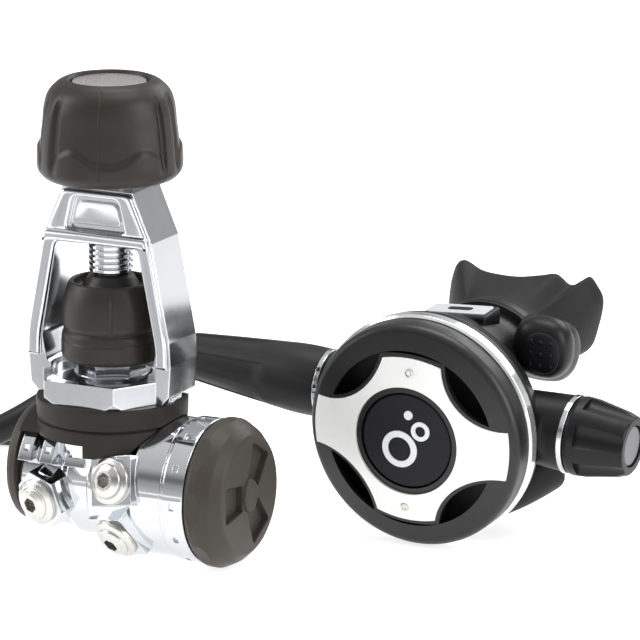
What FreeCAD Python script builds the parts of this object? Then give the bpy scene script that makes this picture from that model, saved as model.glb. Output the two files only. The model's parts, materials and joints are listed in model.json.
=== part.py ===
import FreeCAD, Part
import math
import os

from FreeCAD import Placement, Rotation, Vector

# A scuba regulator set: a diaphragm first stage with a yoke, its low-pressure hose, and a demand
# valve (second stage). Millimetres. The design axes meet where the yoke screw's axis crosses the
# barrel's axis: +X runs along the barrel to its end cap, the ports face -Y and +Z points up.

# where the design origin lies, measured from the middle of the object's box at ground level
ORIGIN_SHIFT = Vector(-65.6, -52.2, 26.0)

# barrel of the first stage
BARREL_LEFT = -27.0
BARREL_RIGHT = 31.0
BARREL_NARROW = 18.6
BARREL_WIDE = 24.2
BOSS_LEFT = -24.4
CAP_RADIUS = 25.8
LEFT_CAP_END = -32.5
LEFT_CAP_RADIUS = 21.2
LEFT_CAP_RISE = 2.6
FIN_RADIUS = 22.6
FIN_TOP = 17.2
RING_END = 40.4
END_CAP_END = 53.0
PORT_FACE = 25.5
PORT_TIP = 11.0
HIGH_TIP = 15.0
HOSE_PORT_DROP = -10.0
LOW_THREAD = 4.75
HIGH_THREAD = 5.55
PLUG_FLANGE = 8.0
PLUG_DOME = 5.9

# yoke
YOKE_BASE = 30.0
YOKE_BASE_TOP = 38.0
YOKE_TOP = 103.0
YOKE_FRONT = -9.0
YOKE_BACK = 10.0
BAR_BOTTOM = 85.0
BASE_ACROSS = 46.8
CHEEK_INNER = 22.4
WINDOW_HALF = 22.3
WINDOW_TOP_HALF = 15.9
SCREW_RADIUS = 7.6
SCREW_PITCH = 2.0
NECK_RADIUS = 5.6
RETAINER_THREAD = 8.0

# demand valve: its own axes are x toward the adjusting knob, y toward the diver, z up
VALVE_ORIGIN = Vector(92.0, 55.0, 15.0)
VALVE_ROLL = 4.1
VALVE_PITCH = 4.6
RING_RADIUS = 39.9
RIM_RADIUS = 41.0
DOME_RADIUS = 120.0
DOME_CROWN = 15.3
SHELL = 2.4
BUTTON_HOLE = 19.4
BUTTON_RADIUS = 16.8
TUBE_Y = 18.0
TUBE_Z = 1.8
TUBE_RADIUS = 12.3
TUBE_LEFT = -44.8
TUBE_RIGHT = 48.0
HOSE_RING_END = -46.6
KNOB_LEFT = 50.2
KNOB_RIGHT = 71.0
SLEEVE_END = -100.9
CRIMP_STEP = -77.9
NECK_X = 2.0
NECK_Z = 18.0
LEVER_PIVOT_X = 15.0
VENTURI_Y = 40.0
VENTURI_Z = 22.0
VENTURI_TRAVEL = 45.0

# low-pressure hose
HOSE_DIAMETER = 10.0
HOSE_PORT_X = 17.0

# the hose's route, from inside its protector to inside its crimp at the first stage
HOSE_ROUTE = [
    (14.5, 72.8, 23.8),
    (-22.0, 72.8, 26.4),
    (-52.0, 67.5, 11.0),
    (-80.0, 54.0, -9.0),
    (-114.0, 30.0, -20.9),
    (-154.0, 6.0, -20.9),
    (-200.0, -6.0, -20.9),
    (-240.0, 10.0, -20.9),
    (-262.0, 46.0, -20.9),
    (-256.0, 86.0, -20.9),
    (-226.0, 108.0, -20.9),
    (-192.0, 108.0, -20.9),
    (-160.0, 97.0, -20.9),
    (-131.0, 93.0, -20.9),
    (-105.0, 98.0, -20.9),
    (-80.7, 108.0, -20.9),
    (-56.8, 114.3, -20.9),
    (-32.9, 112.6, -20.4),
    (-12.8, 101.4, -18.0),
    (0.69, 82.65, -14.58),
    (5.3, 59.26, -10.45),
]

X = Vector(1, 0, 0)
Y = Vector(0, 1, 0)
Z = Vector(0, 0, 1)
HOME = Vector(0, 0, 0)

nodes = {}


# ---- small helpers -----------------------------------------------------------------------------

def rounded_wire(points):
    """Closed wire in the XY plane. A point's third value is the radius that rounds its corner."""
    count = len(points)
    corners = []
    for index, point in enumerate(points):
        here = Vector(point[0], point[1], 0)
        if len(point) < 3:
            corners.append((here, None, here))
            continue
        before = Vector(points[index - 1][0], points[index - 1][1], 0)
        after = Vector(points[(index + 1) % count][0], points[(index + 1) % count][1], 0)
        back = (before - here).normalize()
        ahead = (after - here).normalize()
        half = back.getAngle(ahead) / 2
        reach = point[2] / math.tan(half)
        depth = point[2] / math.sin(half) - point[2]
        middle = (back + ahead).normalize()
        corners.append((here + back * reach, here + middle * depth, here + ahead * reach))
    edges = []
    for index, corner in enumerate(corners):
        if corner[1] is not None:
            edges.append(Part.Arc(*corner).toShape())
        end = corners[(index + 1) % count][0]
        if corner[2].distanceToPoint(end) > 1e-6:
            edges.append(Part.makeLine(corner[2], end))
    return Part.Wire(edges)


def turned(points):
    """Solid turned about Z from (radius, height) points."""
    face = Part.Face(rounded_wire(points))
    face.rotate(HOME, X, 90)
    return face.revolve(HOME, Z, 360)


def prism(points, low, high):
    """Solid with the outline in XY, from height low to height high."""
    solid = Part.Face(rounded_wire(points)).extrude(Z * (high - low))
    solid.translate(Z * low)
    return solid


def aim(shape, origin, direction):
    """The shape built about Z, carried to an origin and turned to point along a direction."""
    placed = shape.copy()
    placed.Placement = Placement(origin, Rotation(Z, direction)).multiply(shape.Placement)
    return placed


def tube(outer, inner, low, high):
    """Plain ring about Z."""
    ring = Part.makeCylinder(outer, high - low, Z * low)
    return ring.cut(Part.makeCylinder(inner, high - low + 2, Z * (low - 1)))


def polygon(count, across):
    """Corner points of a regular polygon, given its size across flats."""
    radius = across / 2 / math.cos(math.pi / count)
    angles = [2 * math.pi * (i + 0.5) / count for i in range(count)]
    return [(radius * math.cos(a), radius * math.sin(a)) for a in angles]


def block(x0, x1, y0, y1, z0, z1):
    return Part.makeBox(x1 - x0, y1 - y0, z1 - z0, Vector(x0, y0, z0))


def joined(shapes):
    return shapes[0].multiFuse(shapes[1:]).removeSplitter()


def spring(radius, wire, low, high, turns):
    """Helical wire spring about Z."""
    pitch = (high - low - wire) / turns
    helix = Part.makeHelix(pitch, high - low - wire, radius)
    start = Vector(radius, 0, 0)
    section = Part.Wire(Part.makeCircle(wire / 2, start, Vector(0, 1, pitch / (2 * math.pi * radius))))
    coil = Part.Wire(helix.Edges).makePipeShell([section], True, True)
    coil.translate(Z * (low + wire / 2))
    return coil


def ellipse_wire(x, y, z, half_x, half_y):
    """Ellipse parallel to XY, with its long axis along whichever half is larger."""
    edge = Part.Ellipse(HOME, max(half_x, half_y), min(half_x, half_y)).toShape()
    if half_y > half_x:
        edge.rotate(HOME, Z, 90)
    edge.translate(Vector(x, y, z))
    return Part.Wire(edge)


def lofted(sections):
    """Smooth solid through ellipses, each (x, y, height, half_x, half_y)."""
    return Part.makeLoft([ellipse_wire(*section) for section in sections], True, False)


def largest(shape):
    """The biggest solid of a cut, without its slivers."""
    return max(shape.Solids, key=lambda solid: solid.Volume)


# ---- first stage: body -------------------------------------------------------------------------

def port_axis(side, elevation, tip):
    """Outward direction of a port: side -1 is the front, elevation and tip in degrees."""
    lean = math.radians(tip)
    rise = math.radians(elevation)
    return Vector(-math.sin(lean), side * math.cos(lean) * math.cos(rise), math.cos(lean) * math.sin(rise))


LOW_PORTS = [
    (17.6, port_axis(-1, 14.0, PORT_TIP)),
    (17.6, port_axis(-1, -36.0, PORT_TIP)),
    (17.6, port_axis(1, -48.0, PORT_TIP)),
]
HOSE_PORT = (HOSE_PORT_X, port_axis(1, HOSE_PORT_DROP, PORT_TIP))
HIGH_PORTS = [
    (-9.2, port_axis(-1, -11.0, HIGH_TIP)),
    (-9.2, port_axis(1, -11.0, HIGH_TIP)),
]


def port_bosses(grow=0.0):
    square = prism(polygon(4, 17.0 + 2 * grow), 12.0, PORT_FACE + grow)
    hexagon = prism(polygon(6, 18.5 + 2 * grow), 12.0, PORT_FACE + grow)
    bosses = [aim(square, X * x, axis) for x, axis in LOW_PORTS + [HOSE_PORT]]
    return bosses + [aim(hexagon, X * x, axis) for x, axis in HIGH_PORTS]


def barrel_ribs():
    """Three short fins with square notches on the upper front of the barrel, below the boot."""
    fins = []
    for x, width in ((-25.6, 4.8), (-17.2, 4.8), (-7.6, 8.0)):
        fin = aim(tube(FIN_RADIUS, 17.0, 0, width), X * x, X)
        fin = fin.common(block(x, x + width, -30, 0, 8.0, FIN_TOP))
        notch = block(x + 1.4, x + width - 1.4, -26, -18.4, 11.0, 14.0)
        fins.append(fin.cut(notch))
    return fins


def body_block():
    barrel = turned([
        (0, BARREL_LEFT), (BARREL_NARROW, BARREL_LEFT, 1.0), (BARREL_NARROW, -10.0, 2.0),
        (20.4, -7.0, 1.0), (20.4, 1.0), (22.4, 2.0, 1.0), (22.4, 19.0), (BARREL_WIDE, 19.6, 0.5),
        (BARREL_WIDE, BARREL_RIGHT), (0, BARREL_RIGHT),
    ])
    turret = turned([(0, 0), (19.8, 0), (19.8, 29.4, 0.8), (0, 29.4)])
    bosses = [boss.common(block(BOSS_LEFT, 40, -40, 40, -40, 40)) for boss in port_bosses()]
    solid = joined([aim(barrel, HOME, X), turret] + bosses + barrel_ribs())
    chamber = turned([(0, 20.0), (12.0, 20.0, 1.0), (16.0, 24.6), (19.6, 24.6), (19.6, BARREL_RIGHT + 0.1),
                      (0, BARREL_RIGHT + 0.1)])
    core = turned([(0, BARREL_LEFT - 0.1), (9.0, BARREL_LEFT - 0.1), (9.0, 5.0), (3.0, 5.0), (3.0, 20.1), (0, 20.1)])
    solid = solid.cut(aim(chamber, HOME, X)).cut(aim(core, HOME, X))
    solid = solid.cut(Part.makeCylinder(RETAINER_THREAD, 16.0, Z * 14.0))
    solid = solid.cut(Part.makeCylinder(3.0, 15.0))
    for x, axis in LOW_PORTS + [HOSE_PORT]:
        solid = solid.cut(aim(Part.makeCylinder(LOW_THREAD, 12.0, Z * 14.0), X * x, axis))
    for x, axis in HIGH_PORTS:
        solid = solid.cut(aim(Part.makeCylinder(HIGH_THREAD, 12.0, Z * 14.0), X * x, axis))
        solid = solid.cut(aim(Part.makeCylinder(1.2, 15.0), X * x, axis))
    for x, axis in [LOW_PORTS[0], HOSE_PORT]:
        solid = solid.cut(aim(Part.makeCylinder(2.0, 15.0), X * x, axis))
    spot_face = Part.makeCylinder(9.4, 8.0, Z * PORT_FACE)
    solid = solid.cut(aim(spot_face, X * HOSE_PORT[0], HOSE_PORT[1]))
    return largest(solid)


def plug(thread):
    """Port plug along Z with a domed flange and a hexagon socket."""
    shape = turned([
        (0, 15.0), (thread, 15.0, 0.4), (thread, PORT_FACE + 0.1), (PLUG_FLANGE, PORT_FACE + 0.1),
        (PLUG_FLANGE, 27.0, 0.5), (PLUG_DOME + 0.6, 27.9, 0.6), (PLUG_DOME, 27.9),
        (PLUG_DOME, 28.6, 0.8), (3.6, 29.7, 0.8), (0, 29.7),
    ])
    shape = shape.cut(prism(polygon(6, 4.8), 24.0, 30.0))
    return shape.cut(tube(thread + 0.1, thread - 1.2, PORT_FACE - 2.6, PORT_FACE - 0.8))


def plugs_and_seals():
    nodes["lp_port_plugs"] = [aim(plug(LOW_THREAD), X * x, axis) for x, axis in LOW_PORTS]
    nodes["high_port_plugs"] = [aim(plug(HIGH_THREAD), X * x, axis) for x, axis in HIGH_PORTS]
    seals = []
    for thread, ports in ((LOW_THREAD, LOW_PORTS), (HIGH_THREAD, HIGH_PORTS)):
        ring = tube(thread - 0.02, thread - 1.18, PORT_FACE - 2.5, PORT_FACE - 0.9)
        seals += [aim(ring, X * x, axis) for x, axis in ports]
    nodes["plug_orings"] = seals


def first_stage_caps():
    left = turned([
        (0, LEFT_CAP_END), (16.0, LEFT_CAP_END, 3.0), (LEFT_CAP_RADIUS - 0.4, -30.6, 3.0),
        (LEFT_CAP_RADIUS, BARREL_LEFT - 0.05), (0, BARREL_LEFT - 0.05),
    ])
    nodes["left_cap"] = [aim(left, Z * LEFT_CAP_RISE, X)]
    ring = turned([
        (16.0, 27.2), (19.5, 27.2), (19.5, 31.1), (24.3, 31.1), (24.3, 32.2), (25.0, 32.6, 0.3),
        (25.0, 40.3, 0.4), (16.0, 40.3),
    ])
    ring = aim(ring, HOME, X)
    for index in range(12):
        notch = block(35.2, 37.0, -1.3, 1.3, 24.2, 26.0)
        notch.rotate(HOME, X, 30.0 * index)
        ring = ring.cut(notch)
    nodes["spanner_ring"] = [ring]
    nodes["end_cap"] = [end_cap()]
    nodes["end_cap_insert"] = [end_cap_insert()]


def end_cap_windows():
    """Three shallow windows in the end cap's face."""
    arms = []
    for index in range(3):
        arm = prism([(-4.6, 5.0), (4.6, 5.0), (6.6, 17.2, 1.2), (-6.6, 17.2, 1.2)], 50.4, 54.0)
        arm.rotate(HOME, Z, 120.0 * index + 60.0)
        arms.append(arm)
    return arms


def end_cap():
    profile = turned([
        (0, RING_END + 0.1), (24.4, RING_END + 0.1), (CAP_RADIUS, 42.4, 1.2), (CAP_RADIUS, 45.4, 1.5),
        (23.6, 49.6, 2.0), (20.4, END_CAP_END, 1.5), (0, END_CAP_END),
    ])
    facets = prism(polygon(8, 2 * CAP_RADIUS - 1.3), RING_END, END_CAP_END + 1)
    solid = profile.common(facets)
    for arm in end_cap_windows():
        solid = solid.cut(arm)
    solid = solid.cut(Part.makeCylinder(13.6, 8.0, Z * 39.0))
    solid = solid.cut(Part.makeCylinder(2.0, 16.0, Z * 39.0))
    return aim(solid, HOME, X)


def end_cap_insert():
    """Plain oval boss in the middle of the cap."""
    oval = lofted([(0, 0, 53.05, 6.0, 4.6), (0, 0, 53.9, 5.6, 4.2)])
    return aim(oval, HOME, X)


# ---- first stage: valve parts inside the barrel ------------------------------------------------

def first_stage_internals():
    seat = turned([(1.6, 0.2), (8.95, 0.2), (8.95, 4.9), (1.6, 4.9)])
    nodes["high_seat"] = [aim(seat, HOME, X)]
    poppet = turned([
        (0, -12.0), (3.4, -12.0), (3.4, -3.2), (4.6, -3.2), (4.6, -0.5), (2.0, -0.3), (1.2, -0.3),
        (1.2, 25.2), (0, 25.2),
    ])
    nodes["high_poppet"] = [aim(poppet, HOME, X)]
    nodes["poppet_spring"] = [aim(spring(5.8, 1.0, -20.6, -3.6, 6), HOME, X)]
    carrier = turned([
        (0, -26.9), (8.9, -26.9), (8.9, -20.8), (3.6, -20.8), (3.6, -13.0), (0, -13.0),
    ])
    nodes["balance_chamber"] = [aim(carrier, HOME, X)]
    diaphragm = turned([(0, 25.7), (10.0, 25.7), (19.4, 25.0), (19.4, 26.8), (10.0, 27.1), (0, 27.1)])
    nodes["main_diaphragm"] = [aim(diaphragm, HOME, X)]
    pad = turned([(0, 27.2), (8.0, 27.2), (8.0, 28.6), (3.0, 28.6), (3.0, 31.0), (0, 31.0)])
    nodes["thrust_pad"] = [aim(pad, HOME, X)]
    nodes["main_spring"] = [aim(spring(8.6, 2.2, 28.8, 43.0, 4), HOME, X)]
    adjuster = turned([(0, 43.1), (13.5, 43.1), (13.5, 46.9), (0, 46.9)])
    adjuster = adjuster.cut(prism(polygon(6, 6.0), 44.0, 47.5))
    nodes["spring_adjuster"] = [aim(adjuster, HOME, X)]


# ---- first stage: boot, yoke, retainer ---------------------------------------------------------

def yoke_boot():
    """Rubber collar under the yoke, an apron over the ports, and a saddle over the barrel's left."""
    collar = turned([
        (19.9, 8.0), (26.0, 8.0), (26.0, 21.6, 0.8), (25.0, 22.2), (26.0, 22.8, 0.8),
        (26.2, YOKE_BASE - 0.05, 0.8), (19.9, YOKE_BASE - 0.05),
    ])
    left_side = block(-40, 2.6, -40, 40, 0, FIN_TOP + 0.1)
    right_side = block(2.6, 40, -40, 40, 0, 13.0)
    collar = collar.cut(left_side).cut(right_side)
    collar = collar.cut(aim(Part.makeCylinder(BARREL_WIDE + 0.25, 80.0), X * -40, X))
    saddle = aim(tube(BARREL_WIDE + 0.4, BARREL_NARROW + 0.05, 0, 11.0), X * BARREL_LEFT, X)
    saddle = saddle.common(block(BARREL_LEFT, -16, -20, 20, FIN_TOP + 0.1, 40))
    collar = collar.fuse(saddle)
    collar = collar.cut(Part.makeCylinder(19.9, 30.0))
    for boss in port_bosses(0.3):
        collar = collar.cut(boss)
    for x, axis in LOW_PORTS + HIGH_PORTS + [HOSE_PORT]:
        collar = collar.cut(aim(Part.makeCylinder(PLUG_FLANGE + 0.4, 8.0, Z * 24.0), X * x, axis))
    return largest(collar)


def base_hexagon(low, high):
    solid = prism(polygon(6, BASE_ACROSS), low, high)
    solid.rotate(HOME, Z, 30.0)
    return solid


def yoke():
    """Arch with a window, on a six-sided base whose slanted cheeks climb to the legs."""
    half_outline = [(24.0, 30.0), (26.8, 33.0), (27.6, 44.0), (27.2, 52.0), (20.7, 86.0), (13.4, YOKE_TOP)]
    outline = half_outline + [(-x, z) for x, z in reversed(half_outline)]
    frame = prism(outline, -YOKE_BACK, -YOKE_FRONT)
    half_window = [(WINDOW_TOP_HALF, BAR_BOTTOM, 2.0), (WINDOW_HALF, 50.0, 6.0), (20.6, 41.0, 2.0)]
    mirrored = [(-p[0],) + p[1:] for p in reversed(half_window)]
    window = prism(half_window + [(0.0, YOKE_BASE_TOP - 3.4)] + mirrored, -20, 20)
    panel = prism([(-11.4, 88.0, 1.5), (11.4, 88.0, 1.5), (8.6, 100.0, 2.0), (-8.6, 100.0, 2.0)],
                  -YOKE_FRONT - 0.8, -YOKE_FRONT + 1)
    frame = frame.cut(window).cut(panel)
    frame.rotate(HOME, X, 90)
    hexagon = base_hexagon(YOKE_BASE, YOKE_BASE_TOP)
    base = hexagon.common(turned([(0, 30.0), (25.4, 30.0), (27.4, 33.0), (27.4, 38.0), (0, 38.0)]))
    hollow = Part.makeCone(20.4, 21.0, 6.0, Z * (YOKE_BASE_TOP - 3.4))
    solid = base.fuse(frame).cut(hollow)
    cheek = prism([(-24.0, 37.0), (-9.0, 50.0), (10.0, 50.0), (24.0, 37.0)], CHEEK_INNER, 30.0)
    cheek.rotate(HOME, X, 90)
    cheek.rotate(HOME, Z, 90)
    tall = base_hexagon(YOKE_BASE + 5.0, 51.0)
    for side in (cheek, cheek.mirror(HOME, X)):
        solid = solid.fuse(side.common(tall))
    floor = tube(20.5, RETAINER_THREAD + 0.1, YOKE_BASE, YOKE_BASE_TOP - 3.4)
    rise = tube(13.0, RETAINER_THREAD + 0.1, YOKE_BASE, YOKE_BASE_TOP)
    solid = joined([solid, floor, rise])
    solid = solid.cut(Part.makeCylinder(RETAINER_THREAD + 0.1, 12.0, Z * 28.0))
    solid = solid.cut(Part.makeCylinder(SCREW_RADIUS + 0.08, 30.0, Z * 80.0))
    return largest(solid)


def retainer_parts():
    bolt = turned([
        (3.0, 14.5), (RETAINER_THREAD - 0.02, 14.5), (RETAINER_THREAD - 0.02, YOKE_BASE_TOP + 0.05),
        (11.6, YOKE_BASE_TOP + 0.05), (11.6, 42.4, 0.6), (8.4, 42.6), (8.4, 46.6, 0.5), (4.6, 46.6),
        (4.6, 41.0), (3.0, 39.0),
    ])
    nodes["yoke_retainer"] = [bolt.common(prism(polygon(6, 20.0), 10, 42.45).fuse(
        Part.makeCylinder(8.4, 8.0, Z * 42.0)))]
    sinter = turned([(0, 41.2), (4.5, 41.2), (4.5, 42.4), (2.0, 44.8, 0.4), (0, 44.8)])
    nodes["inlet_filter"] = [sinter]
    nodes["filter_clip"] = [tube(4.58, 3.4, 45.0, 45.8)]


def dust_cap():
    return turned([
        (0.0, 50.2), (11.9, 50.2), (11.9, 42.8), (17.0, 42.8), (17.2, 46.0, 1.0), (16.7, 52.6, 0.4),
        (16.1, 53.2), (16.6, 53.9, 0.6), (16.4, 60.5, 5.0), (13.4, 70.4, 1.0), (12.0, 70.4, 0.8),
        (10.6, 66.6, 1.0), (NECK_RADIUS + 0.15, 66.0), (NECK_RADIUS + 0.15, 62.0), (0.0, 62.0),
    ])


def yoke_screw():
    """Screw with rolled grooves, a neck and a blunt tip captive in the dust cap."""
    profile = [
        (0, 62.3), (NECK_RADIUS, 62.3, 0.5), (NECK_RADIUS, 72.4), (SCREW_RADIUS, 73.4),
        (SCREW_RADIUS, 105.55), (5.0, 105.55), (5.0, 130.0), (0, 130.0),
    ]
    screw = turned(profile)
    for index in range(int((98.0 - 74.0) / SCREW_PITCH)):
        height = 74.0 + SCREW_PITCH * index
        groove = turned([
            (SCREW_RADIUS + 1.0, height), (SCREW_RADIUS - 0.9, height + SCREW_PITCH / 2),
            (SCREW_RADIUS + 1.0, height + SCREW_PITCH),
        ])
        screw = screw.cut(groove)
    return screw


def yoke_knob():
    body = turned([
        (5.05, 105.6), (21.6, 105.6, 1.5), (25.0, 110.2, 3.0), (24.2, 121.0, 20.0), (21.9, 132.5, 12.0),
        (18.6, 139.0, 2.5), (13.2, 139.5, 0.5), (12.9, 137.2), (5.05, 137.2),
    ])
    for index in range(6):
        facet = Part.makeCylinder(22.0, 34.0, Vector(42.6, 0, 114.5), Vector(-0.09, 0, 1))
        facet.rotate(HOME, Z, 60.0 * index + 20.0)
        body = body.cut(facet)
    return body


def first_stage_yoke():
    nodes["yoke_boot"] = [yoke_boot()]
    nodes["yoke"] = [yoke()]
    retainer_parts()
    nodes["dust_cap"] = [dust_cap()]
    nodes["yoke_screw"] = [yoke_screw()]
    nodes["yoke_knob"] = [yoke_knob()]
    nodes["knob_badge"] = [turned([(0, 137.3), (12.7, 137.3), (12.7, 138.9, 0.4), (0, 138.9)])]


# ---- second stage ------------------------------------------------------------------------------

def seated(shape):
    """From the demand valve's own axes to the design axes."""
    turn = Rotation(Y, VALVE_ROLL).multiply(Rotation(X, VALVE_PITCH))
    placed = shape.copy()
    placed.Placement = Placement(VALVE_ORIGIN, turn).multiply(shape.Placement)
    return placed


def faced(shape):
    """A shape built along Z, turned to face the front: its height becomes -y."""
    placed = shape.copy()
    placed.Placement = Placement(HOME, Rotation(X, 90)).multiply(shape.Placement)
    return placed


def along_tube(shape):
    """A shape built along Z, laid on the valve tube's axis: its height becomes x."""
    return aim(shape, Vector(0, TUBE_Y, TUBE_Z), X)


def dome(radius, low, high, offset):
    """Cylinder under the cover's domed surface, which is lowered by an offset."""
    sphere = Part.makeSphere(DOME_RADIUS - offset, Z * (DOME_CROWN - DOME_RADIUS))
    return Part.makeCylinder(radius, high - low, Z * low).common(sphere)


def plate_outline(grow):
    """Four-armed outline of the bright plate: level arms are long, upright arms short and wide."""
    long_end = 37.0 + grow
    long_half = 8.7 + grow
    short_end = 29.4 + grow
    short_half = 11.0 + grow
    nearest = 23.4 + grow
    diagonal = math.radians(43.5)
    edges = []
    corners = []
    for right, up in ((1, 1), (-1, 1), (-1, -1), (1, -1)):
        level = Vector(right * (long_end - 0.9), up * long_half, 0)
        upright = Vector(right * short_half, up * (short_end - 1.6), 0)
        middle = Vector(right * nearest * math.cos(diagonal), up * nearest * math.sin(diagonal), 0)
        corners.append((level, middle, upright) if right == up else (upright, middle, level))
    for index, corner in enumerate(corners):
        edges.append(Part.Arc(*corner).toShape())
        start = corner[2]
        end = corners[(index + 1) % 4][0]
        reach = long_end if index % 2 else short_end
        middle = Vector(-reach, 0, 0) if index == 1 else Vector(reach, 0, 0)
        if index % 2 == 0:
            middle = Vector(0, reach if index == 0 else -reach, 0)
        edges.append(Part.Arc(start, middle, end).toShape())
    return Part.Wire(edges)


def plate_prism(grow, low, high):
    solid = Part.Face(plate_outline(grow)).extrude(Z * (high - low))
    solid.translate(Z * low)
    return solid


def cover_ring():
    outer = dome(RING_RADIUS, 0.4, 18.0, 0.0)
    rim_edges = [edge for edge in outer.Edges if abs(edge.BoundBox.XLength - 2 * RING_RADIUS) < 0.1
                 and edge.BoundBox.ZMin > 5]
    outer = outer.makeFillet(3.6, rim_edges)
    shell = outer.cut(dome(RING_RADIUS - SHELL, -1.0, 18.0, SHELL))
    windows = Part.makeCylinder(31.6, 20.0, Z * -1).cut(plate_prism(1.3, -2.0, 20.0))
    shell = shell.cut(windows)
    recess = plate_prism(0.15, 5.0, 20.0).cut(dome(60.0, 0.0, 20.0, 1.25))
    shell = shell.cut(recess)
    collar = dome(BUTTON_HOLE - 0.15, 4.0, 18.0, 0.5)
    shell = joined([shell, collar])
    return largest(shell.cut(Part.makeCylinder(17.3, 30.0, Z * -5)))


def cover_plate():
    solid = plate_prism(0.0, 5.0, 20.0).common(dome(60.0, 0.0, 20.0, -0.35))
    solid = solid.cut(dome(60.0, 0.0, 20.0, 1.15))
    return solid.cut(Part.makeCylinder(BUTTON_HOLE, 30.0, Z * -5))


def plate_pins():
    pins = []
    for side in (-1, 1):
        low = Vector(0, side * 24.5, 9.0)
        pins.append(Part.makeCylinder(1.5, 3.45, low))
    return pins


def front_parts():
    ring = cover_ring()
    nodes["cover_ring"] = [seated(faced(ring))]
    plate = cover_plate()
    pins = plate_pins()
    for pin in pins:
        plate = plate.cut(Part.makeCylinder(1.55, 8.0, Vector(0, pin.BoundBox.Center.y, 8.0)))
    pins = [pin.cut(ring) for pin in pins]
    nodes["cover_plate"] = [seated(faced(plate))]
    nodes["plate_pins"] = [seated(faced(largest(pin))) for pin in pins]
    button = turned([
        (0, 1.0), (4.0, 1.0, 0.5), (4.0, 9.6), (15.0, 9.6), (15.0, 7.4), (BUTTON_RADIUS, 7.4),
        (BUTTON_RADIUS, 13.4, 0.8), (0, 14.2),
    ])
    marks = button_emblem()
    for mark in marks:
        button = button.cut(mark)
    nodes["purge_button"] = [seated(faced(button))]
    nodes["button_emblem"] = [seated(faced(mark)) for mark in marks]
    nodes["purge_spring"] = [seated(faced(spring(6.4, 0.9, 1.6, 9.5, 3)))]
    rim = turned([
        (38.95, -5.0), (40.7, -5.0, 0.3), (RIM_RADIUS, -4.2), (RIM_RADIUS, -0.6, 0.4), (40.2, 0.2),
        (38.95, 0.2),
    ])
    nodes["chrome_rim"] = [seated(faced(rim))]


def button_emblem():
    """Three round bubbles, inlaid proud of the button."""
    low = 13.0
    big = tube(6.6, 4.4, low, 14.9)
    big.translate(Vector(-2.2, -3.2, 0))
    middle = tube(3.4, 1.9, low, 14.9)
    middle.translate(Vector(5.4, 4.6, 0))
    small = Part.makeCylinder(1.6, 1.9, Vector(0.6, 9.6, low))
    cutter = dome(60.0, 0.0, 20.0, 0.75)
    return [mark.common(cutter) for mark in (big, middle, small)]


def diaphragm_parts():
    sheet = turned([
        (10.4, -3.2), (36.4, -3.2), (36.4, -4.4), (35.2, -4.4), (35.2, -4.0), (10.4, -4.0),
    ])
    nodes["diaphragm"] = [seated(faced(sheet))]
    plate = turned([
        (0, -0.4), (3.0, -0.4), (3.0, -3.0), (10.0, -3.0), (10.0, -4.4), (2.5, -4.4), (2.5, -5.3),
        (0, -5.3),
    ])
    nodes["diaphragm_plate"] = [seated(faced(plate))]


def case_crown(grow):
    """Hump of the housing from the bowl back to the mouthpiece's neck."""
    return lofted([
        (0.0, 9.0, -16.0, 27.0 + grow, 27.0 + grow), (0.5, 12.0, -25.0, 24.0 + grow, 22.5 + grow),
        (NECK_X - 0.6, 15.6, -35.0, 19.0 + grow, 16.4 + grow),
        (NECK_X, NECK_Z, -44.0, 17.0 + grow, 12.5 + grow),
    ])


def case_outer():
    bowl = turned([
        (0, -0.4), (38.7, -0.4), (38.7, -5.2), (40.4, -5.2), (40.3, -7.6, 1.5), (36.6, -17.0, 9.0),
        (29.6, -26.4, 7.0), (20.0, -30.5, 4.0), (0, -30.5),
    ])
    crown = case_crown(0.0)
    neck = lofted([(NECK_X, NECK_Z, -44.0, 17.0, 12.5), (NECK_X, NECK_Z, -53.0, 17.0, 12.5)])
    tube_body = along_tube(turned([
        (0, TUBE_LEFT), (TUBE_RADIUS - 0.4, TUBE_LEFT), (TUBE_RADIUS, -30.0), (TUBE_RADIUS, 30.0),
        (TUBE_RADIUS + 1.2, TUBE_RIGHT), (0, TUBE_RIGHT),
    ]))
    return joined([faced(bowl), faced(crown), faced(neck), tube_body])


def case_inner():
    bowl = turned([
        (0, -0.3), (36.6, -0.3), (36.6, -6.0), (34.0, -16.2, 9.0), (27.4, -24.6, 6.0), (18.8, -28.3),
        (0, -28.3),
    ])
    airway = lofted([
        (0.0, 10.0, -18.0, 22.0, 20.0), (NECK_X - 0.6, 15.6, -34.0, 16.6, 13.6),
        (NECK_X, NECK_Z, -44.0, 14.6, 10.0), (NECK_X, NECK_Z, -54.0, 14.6, 10.0),
    ])
    bore = along_tube(Part.makeCylinder(8.2, 120.0, Z * -60))
    return [faced(bowl), faced(airway), bore]


EXHAUST_AXIS = Vector(0, 0.62, -0.785)
EXHAUST_ROOT = Vector(0, 14.0, -16.0)
EXHAUST_BORE = 7.6
TEE_REACH = 36.0


def housing():
    solid = case_outer()
    for hollow in case_inner():
        solid = solid.cut(hollow)
    solid = solid.cut(aim(Part.makeCylinder(EXHAUST_BORE, 40.0), EXHAUST_ROOT, EXHAUST_AXIS))
    lever_bore = Part.makeCylinder(3.1, 20.0, Vector(8.0, VENTURI_Y, VENTURI_Z), X)
    return largest(solid.cut(lever_bore).removeSplitter())


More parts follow.
